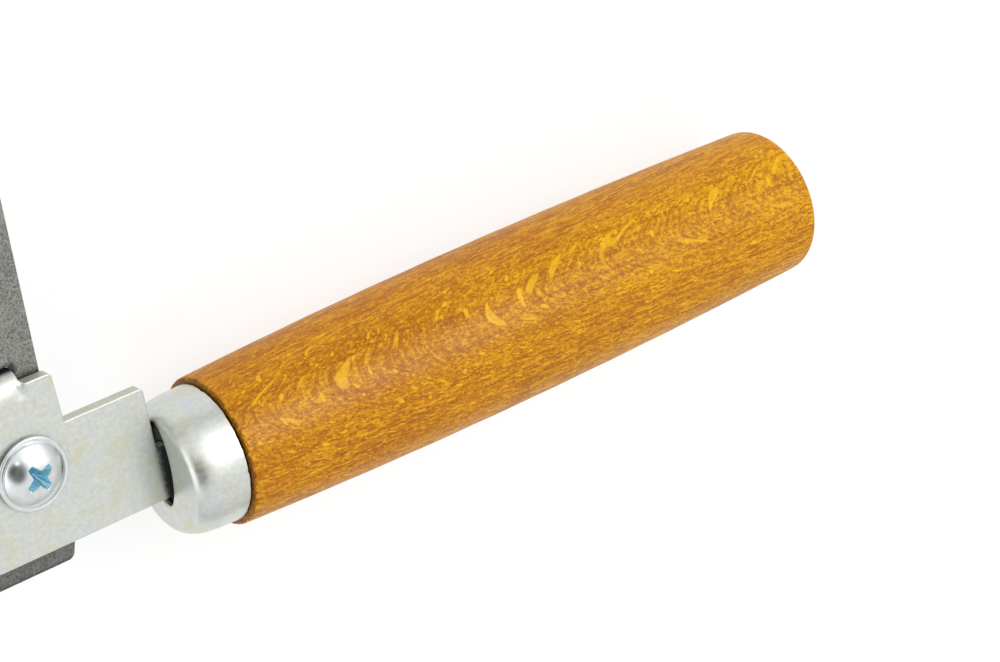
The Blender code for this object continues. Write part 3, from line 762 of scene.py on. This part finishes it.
def make_bracket(face_material, edge_material):
    tab_end = BEND_START + BEND_LENGTH - TAB_TRIM
    tang_end = BRACKET_HIGH[0] - SCREW_X
    # Each corner's x, y and radius, from the front along the tang and back over the tab.
    corners = [
        (BRACKET_FRONT, TANG_LOW, 3.0),
        (tang_end, TANG_LOW, 1.5),
        (tang_end, TANG_LOW + TANG_WIDTH, 1.5),
        (SHOULDER_FOOT, TANG_LOW + TANG_WIDTH, 0.6),
        (SHOULDER_HEAD, STEP_LEVEL, 0.95),
        (STEP_FOOT, STEP_LEVEL, 0.15),
        (STEP_HEAD, HIGH_LEVEL, 0.95),
        (TAB_HIGH, HIGH_LEVEL, 0.25),
        (TAB_HIGH, tab_end, 1.2),
        (TAB_LOW, tab_end, 1.2),
        (TAB_LOW, HIGH_LEVEL, 0.25),
        (BRACKET_FRONT, HIGH_LEVEL, 1.5),
    ]
    outline = [(x + SCREW_X, y + SCREW_Y) for x, y in round_corners(corners)]
    sheet = plate(outline, SHEET_FLOOR, SHEET_TOP)
    for face in sheet.faces:
        face.material_index = 1 if abs(face.normal.z) < 0.5 else 0
    bracket = new_piece("plated_tang_bracket", sheet, [face_material, edge_material])
    cut(bracket, screw_hole(SHEET_FLOOR - 1, SHEET_TOP + 1))
    roll_edges(bracket, SHEET_EDGE, segments=5, material=0, clamp=False)
    bm = bmesh.new()
    bm.from_mesh(bracket.data)
    for x in np.arange(TAB_LOW - BEND_SPREAD, TAB_HIGH + BEND_SPREAD + 0.1, 0.3):
        slice_mesh(bm, ((SCREW_X + x) * MM, 0, 0), (1, 0, 0))
    for y in np.arange(BEND_START - 0.3, tab_end, 0.25):
        slice_mesh(bm, (0, (SCREW_Y + y) * MM, 0), (0, 1, 0))
    bmesh.ops.triangulate(bm, faces=[face for face in bm.faces if len(face.verts) > 4])
    bm.to_mesh(bracket.data)
    bm.free()
    bend_tab(bracket)
    bracket.data.shade_smooth()
    bracket.data.set_sharp_from_angle(angle=SHARP_EDGE)
    weigh_normals(bracket)
    finish_piece(bracket, "tang_bracket")


# ---------------------------------------------------------------- blade

BLADE_CORNER = 1.3
BLADE_EDGE = 0.3
HEEL_CUT_X, HEEL_CUT_Y = 1.2, 4.5


def make_blade(material):
    """The flat blade, its corner at the handle cut back a little, with the tab's slot and the hole."""
    low, high = BLADE_LOW, BLADE_HIGH
    outline = round_corners([(low[0], low[1], BLADE_CORNER),
                             (high[0] - HEEL_CUT_X, low[1], 1.5),
                             (high[0], low[1] + HEEL_CUT_Y, 2.0),
                             (high[0], high[1], BLADE_CORNER),
                             (low[0], high[1], BLADE_CORNER)], steps=10)
    blade = new_piece("blasted_blade", plate(outline, low[2], high[2]), [material])
    slot_outline = round_corners([(TAB_LOW - SLOT_SIDE_ROOM, SLOT_START, 0.8),
                                  (TAB_HIGH + SLOT_SIDE_ROOM, SLOT_START, 0.8),
                                  (TAB_HIGH + SLOT_SIDE_ROOM, TAB_TOP + SLOT_ROOM, 1.4),
                                  (TAB_LOW - SLOT_SIDE_ROOM, TAB_TOP + SLOT_ROOM, 1.4)])
    slot_outline = [(x + SCREW_X, y + SCREW_Y) for x, y in slot_outline]
    cut(blade, new_piece("slot", plate(slot_outline, low[2] - 1, high[2] + 1), []))
    cut(blade, screw_hole(low[2] - 1, high[2] + 1))
    roll_edges(blade, BLADE_EDGE)
    weigh_normals(blade)
    finish_piece(blade, "blade")


# ---------------------------------------------------------------- fasteners

PITCH = 1.0
THREAD_MAJOR = 2.95
THREAD_MINOR = 2.42
COLLAR_RADIUS = 6.75
COLLAR_EDGE = 0.8
COLLAR_ROUNDING = 0.32
DOME_RADIUS = 5.85
DOME_WALL = 0.40
DOME_FULLNESS = 2.5
RECESS_TURN = math.radians(31)
RECESS_ARM, RECESS_ROOT, RECESS_END = 3.1, 0.95, 0.55
RECESS_DEPTH = 2.0
RECESS_BEVEL = 0.13
WASHER_EDGE = 0.2
SPRING_WIRE_HALF = 0.62
SPRING_GAP_HALF = 0.085
SPRING_SLANT = math.radians(25)
SPRING_LIFT = 0.32
NUT_BORE = 3.05
NUT_COUNTERSINK = 0.5
NUT_FACE = 0.95  # the flat ring's radius, as a share of the distance to a flat
NUT_CHAMFER = math.radians(30)


def head_profile(seat, top):
    """(height, radius) over the pan head, from its crown to the collar's seat."""
    base = seat + COLLAR_EDGE
    brow = base + DOME_WALL
    profile = []
    for step in range(1, 25):
        share = step / 24
        profile.append((brow + (top - brow) * (1 - share ** DOME_FULLNESS), (DOME_RADIUS - 0.12) * share))
    profile += [(brow - 0.08, DOME_RADIUS - 0.04), (brow - 0.20, DOME_RADIUS), (base, DOME_RADIUS),
                (base - 0.10, DOME_RADIUS + 0.06), (base - 0.10, DOME_RADIUS + 0.16)]
    for step in range(13):
        angle = math.pi / 2 - math.pi * step / 12
        profile.append((seat + COLLAR_ROUNDING + 0.16 + COLLAR_ROUNDING * math.sin(angle),
                        COLLAR_RADIUS - COLLAR_ROUNDING + COLLAR_ROUNDING * math.cos(angle)))
    profile += [(seat + 0.02, COLLAR_RADIUS - 0.7), (seat, COLLAR_RADIUS - 1.5), (seat, 4.0),
                (seat, 3.1)]
    return profile


def thread_rings(top, tip, segments):
    """Rings down a shank whose radius follows a single-start thread. The thread fades in below the top
    and tapers at the tip."""
    angle = round_angles(segments)
    rings = []
    for height in np.arange(top, tip - 1e-6, -PITCH / 10):
        phase = (height / PITCH - angle / TAU) % 1.0
        wave = np.clip(np.abs(phase - 0.5) * 2 * 1.25 - 0.12, 0.0, 1.0)
        radius = THREAD_MINOR + (THREAD_MAJOR - THREAD_MINOR) * (1 - wave)
        ends = min(1.0, (top - height) / 1.0)
        radius = THREAD_MINOR * (1 - ends) + radius * ends
        radius = np.minimum(radius, THREAD_MINOR - 0.4 + (height - tip) * 0.9)
        rings.append(ring_about_z(height, radius, segments))
    return rings


def recess_cutter(top, material):
    """A tapered cross with rounded roots, deepest in the middle."""
    corners = []
    for quarter in range(4):
        turn = RECESS_TURN + quarter * math.pi / 2
        for x, y, radius in ((RECESS_ARM, -RECESS_END, 0.25), (RECESS_ARM, RECESS_END, 0.25),
                             (RECESS_ROOT, RECESS_ROOT, 0.35)):
            corners.append((x * math.cos(turn) - y * math.sin(turn),
                            x * math.sin(turn) + y * math.cos(turn), radius))
    mouth = np.array(round_corners(corners, steps=4))
    rings = []
    for share, scale in ((1.12, 1.04), (0.0, 0.50), (-0.30, 0.10)):
        ring = np.zeros((len(mouth), 3))
        ring[:, :2] = mouth * scale + (SCREW_X, SCREW_Y)
        ring[:, 2] = top - RECESS_DEPTH + share * RECESS_DEPTH
        rings.append(ring)
    return new_piece("recess", loft(rings), [material])


def make_screw(material, recess):
    segments = 120
    seat = SHEET_TOP + FIT_GAP
    rings = [ring_about_z(height, radius, segments)
             for height, radius in head_profile(seat, SCREW_HIGH[2])]
    rings.append(ring_about_z(seat - 0.1, THREAD_MINOR, segments))
    rings += thread_rings(seat - 0.3, SCREW_LOW[2], segments)
    screw = new_piece("pan_screw", loft(rings), [material])
    cut(screw, recess_cutter(SCREW_HIGH[2], recess))
    bm = bmesh.new()
    bm.from_mesh(screw.data)
    rim = [edge for edge in bm.edges if len({face.material_index for face in edge.link_faces}) == 2]
    bmesh.ops.bevel(bm, geom=rim, offset=RECESS_BEVEL * MM, segments=2, profile=0.5,
                    affect="EDGES", material=0)
    bm.to_mesh(screw.data)
    bm.free()
    screw.data.shade_smooth()
    screw.data.set_sharp_from_angle(angle=math.radians(38))
    finish_piece(screw, "screw")


def make_plain_washer(material):
    low, high = box_mm("plain_washer")
    inner, outer = HOLE_RADIUS, (high[0] - low[0]) / 2
    corners = [(inner, low[2], WASHER_EDGE), (outer, low[2], WASHER_EDGE * 2),
               (outer, high[2], WASHER_EDGE), (inner, high[2], WASHER_EDGE)]
    rings = [ring_about_z(z, radius, 120) for radius, z in round_corners(corners, steps=3)]
    washer = new_piece("pressed_washer", loft(rings, closed=True), [material], smooth_angle=35)
    finish_piece(washer, "plain_washer")


def make_lock_washer(material):
    """A split ring coiled slightly, with slanted ends."""
    low, high = box_mm("lock_washer")
    inner, outer, half = HOLE_RADIUS, (high[0] - low[0]) / 2, SPRING_WIRE_HALF
    section = round_corners([(inner, -half, 0.15), (outer, -half, 0.15), (outer, half, 0.15),
                             (inner, half, 0.15)], steps=3)
    middle_z = (low[2] + high[2]) / 2
    rings = []
    for share in np.linspace(0, 1, 73):
        ring = []
        for radius, height in section:
            slant = height * math.tan(SPRING_SLANT) / radius
            angle = SPRING_GAP_HALF + (TAU - 2 * SPRING_GAP_HALF) * share + slant
            lift = (share - 0.5) * SPRING_LIFT
            ring.append((SCREW_X + radius * math.cos(angle), SCREW_Y + radius * math.sin(angle),
                         middle_z + height + lift))
        rings.append(np.array(ring))
    washer = new_piece("spring_washer", loft(rings), [material], smooth_angle=35)
    finish_piece(washer, "lock_washer")


def make_nut(material):
    """A hexagon nut whose outside follows its six flats or its turned chamfers, whichever lie further
    in."""
    low, high = NUT_LOW[2], NUT_HIGH[2]
    corner = (NUT_HIGH[0] - NUT_LOW[0]) / 2
    flat = corner * math.cos(math.pi / 6)
    face = flat * NUT_FACE
    segments = 180
    angle = round_angles(segments)
    hexagon = np.minimum(flat / np.cos(angle % (TAU / 6) - TAU / 12), corner * 0.99)
    slope = math.tan(NUT_CHAMFER)
    chamfer = [(depth, face + depth / slope) for depth in np.linspace(0, (corner - face) * slope, 12)]
    outside = [(high - depth, limit) for depth, limit in chamfer]
    outside += [(low + depth, limit) for depth, limit in reversed(chamfer)]
    rings = [ring_about_z(z, np.minimum(limit, hexagon), segments) for z, limit in outside]
    inside = [(low, NUT_BORE + NUT_COUNTERSINK), (low + NUT_COUNTERSINK, NUT_BORE),
              (high - NUT_COUNTERSINK, NUT_BORE), (high, NUT_BORE + NUT_COUNTERSINK)]
    rings += [ring_about_z(z, radius, segments) for z, radius in inside]
    nut = new_piece("chamfered_nut", loft(rings, closed=True), [material], smooth_angle=20)
    finish_piece(nut, "hex_nut")


# ---------------------------------------------------------------- studio

FLOOR_HALF = 4.0
FLOOR_CENTRE_X = 0.1
FLOOR_BELOW = 0.0002
FLOOR_GLOW = 0.77
KEY_DIRECTION = (0.38, 0.42, 0.82)
KEY_DISTANCE = 0.9
KEY_LENGTH, KEY_WIDTH = 0.33, 0.54
KEY_RADIANCE = 2.4
KEY_TARGET = (200, AXIS_Y, AXIS_Z)
FRONT_DIRECTION = (-0.96, 0.02, 0.27)
LENS_DIRECTION = (-0.33, 0.45, 0.83)
PHOTOGRAPHER_DIRECTION = (-0.42, 0.08, 0.90)
PHOTOGRAPHER_OUTLINE, PHOTOGRAPHER_CORE = math.radians(30), math.radians(14)
PHOTOGRAPHER_SHADE = 0.06  # what is left of the light in the patch's core
CEILING_LOW, CEILING_HIGH = 0.60, 0.97
STUDIO_WHITE = (1.0, 0.995, 0.985, 1.0)
CAMERA_TARGET = (214.96, AXIS_Y - 2.15, AXIS_Z)
CAMERA_DISTANCE = 0.522
CAMERA_LENS, CAMERA_SENSOR = 98.0, 36.0
CAMERA_AZIMUTH, CAMERA_ELEVATION = math.radians(232.57), math.radians(48.01)
CAMERA_ROLL = math.radians(111.29)


def make_floor():
    bm = bmesh.new()
    bmesh.ops.create_grid(bm, x_segments=2, y_segments=2, size=FLOOR_HALF)
    g = Graph(bpy.data.materials.new("studio_floor"))
    position = g.add("ShaderNodeTexCoord", {}, output="Object")
    color = g.blend(g.noise(position, scale=3.0), (0.24, 0.24, 0.24), (0.26, 0.26, 0.26))
    grey = g.finish(Base_Color=color, Roughness=0.9, Specular_IOR_Level=0.0,
                    Emission_Color=(1, 1, 1, 1), Emission_Strength=FLOOR_GLOW)
    floor = new_piece("studio_floor", bm, [grey])
    floor.location = (FLOOR_CENTRE_X, 0, cad_bounds[0][2] - FLOOR_BELOW)


def make_key_light():
    """An area light of even radiance, whose length lies along X as seen from the handle."""
    lamp = bpy.data.lights.new("key_softbox", "AREA")
    lamp.shape = "RECTANGLE"
    lamp.size, lamp.size_y = KEY_LENGTH, KEY_WIDTH
    lamp.energy = KEY_RADIANCE * math.pi * KEY_LENGTH * KEY_WIDTH
    item = bpy.data.objects.new("key_softbox", lamp)
    facing = Vector(KEY_DIRECTION).normalized()
    side = Vector((1, 0, 0))
    along = (side - facing * side.dot(facing)).normalized()
    turn = Matrix((along, facing.cross(along), facing)).transposed().to_4x4()
    item.matrix_world = Matrix.Translation(Vector(KEY_TARGET) * MM + facing * KEY_DISTANCE) @ turn
    item.visible_camera = False
    bpy.context.scene.collection.objects.link(item)


def make_world():
    """A pale studio: a bright ceiling, a soft glow round the key light and one in front of the blade, and
    the dark patch where the photographer stands, with a small light at the lens. The zinc mirrors them."""
    world = bpy.data.worlds.new("studio")
    g = Graph(world)
    sky = g.add("ShaderNodeTexCoord", {}, output="Generated")

    def facing(direction):
        unit = tuple(Vector(direction).normalized())
        dot = g.add("ShaderNodeVectorMath", {0: sky, 1: unit}, output="Value", operation="DOT_PRODUCT")
        return g.math("MAXIMUM", dot, 0.0)

    def glow(direction, tightness, strength):
        return g.math("MULTIPLY", g.math("POWER", facing(direction), tightness), strength)

    ceiling = g.spread(facing((0, 0, 1)), 0.0, 0.6, CEILING_LOW, CEILING_HIGH)
    glows = g.math("ADD", glow(KEY_DIRECTION, 10, 1.17), glow(FRONT_DIRECTION, 9, 1.3))
    patch = g.spread(facing(PHOTOGRAPHER_DIRECTION), math.cos(PHOTOGRAPHER_OUTLINE),
                     math.cos(PHOTOGRAPHER_CORE), 1.0, PHOTOGRAPHER_SHADE)
    light = g.math("MULTIPLY", g.math("ADD", ceiling, glows), patch)
    light = g.math("ADD", light, glow(LENS_DIRECTION, 1200, 6))
    g.finish(Color=STUDIO_WHITE, Strength=light)
    bpy.context.scene.world = world


def make_studio():
    make_key_light()
    make_world()
    bpy.context.scene.view_settings.view_transform = "Standard"


def make_camera():
    """The photograph's view: from above the blade's far side, rolled so that the handle rises to the
    right."""
    camera = bpy.data.cameras.new("camera")
    camera.sensor_width = CAMERA_SENSOR
    camera.lens = CAMERA_LENS
    back = Vector((math.sin(CAMERA_AZIMUTH) * math.cos(CAMERA_ELEVATION),
                   -math.cos(CAMERA_AZIMUTH) * math.cos(CAMERA_ELEVATION), math.sin(CAMERA_ELEVATION)))
    item = bpy.data.objects.new("camera", camera)
    item.location = Vector(CAMERA_TARGET) * MM + back * CAMERA_DISTANCE
    rolled = (-back).to_track_quat("-Z", "Y") @ Quaternion((0, 0, 1), CAMERA_ROLL)
    item.rotation_euler = rolled.to_euler()
    bpy.context.scene.collection.objects.link(item)
    bpy.context.scene.camera = item


def main():
    make_camera()
    make_studio()
    make_floor()
    # The plated sheet carries painted shade on its tab and at the ferrule's mouth.
    sheet_zinc = zinc_material("zinc_plate", lines=0.4, smoothest=0.34, roughest=0.44, painted_shade=0.95)
    drawn_zinc = zinc_material("drawn_zinc", lines=0.7, smoothest=0.28, roughest=0.35)
    bright_zinc = bright_zinc_material()
    make_blade(blasted_steel_material())
    make_bracket(sheet_zinc, sheared_zinc_material())
    make_ferrule(drawn_zinc)
    make_handle(beech_material())
    make_screw(bright_zinc, recess_material())
    make_plain_washer(bright_zinc)
    make_lock_washer(bright_zinc)
    make_nut(bright_zinc)


main()
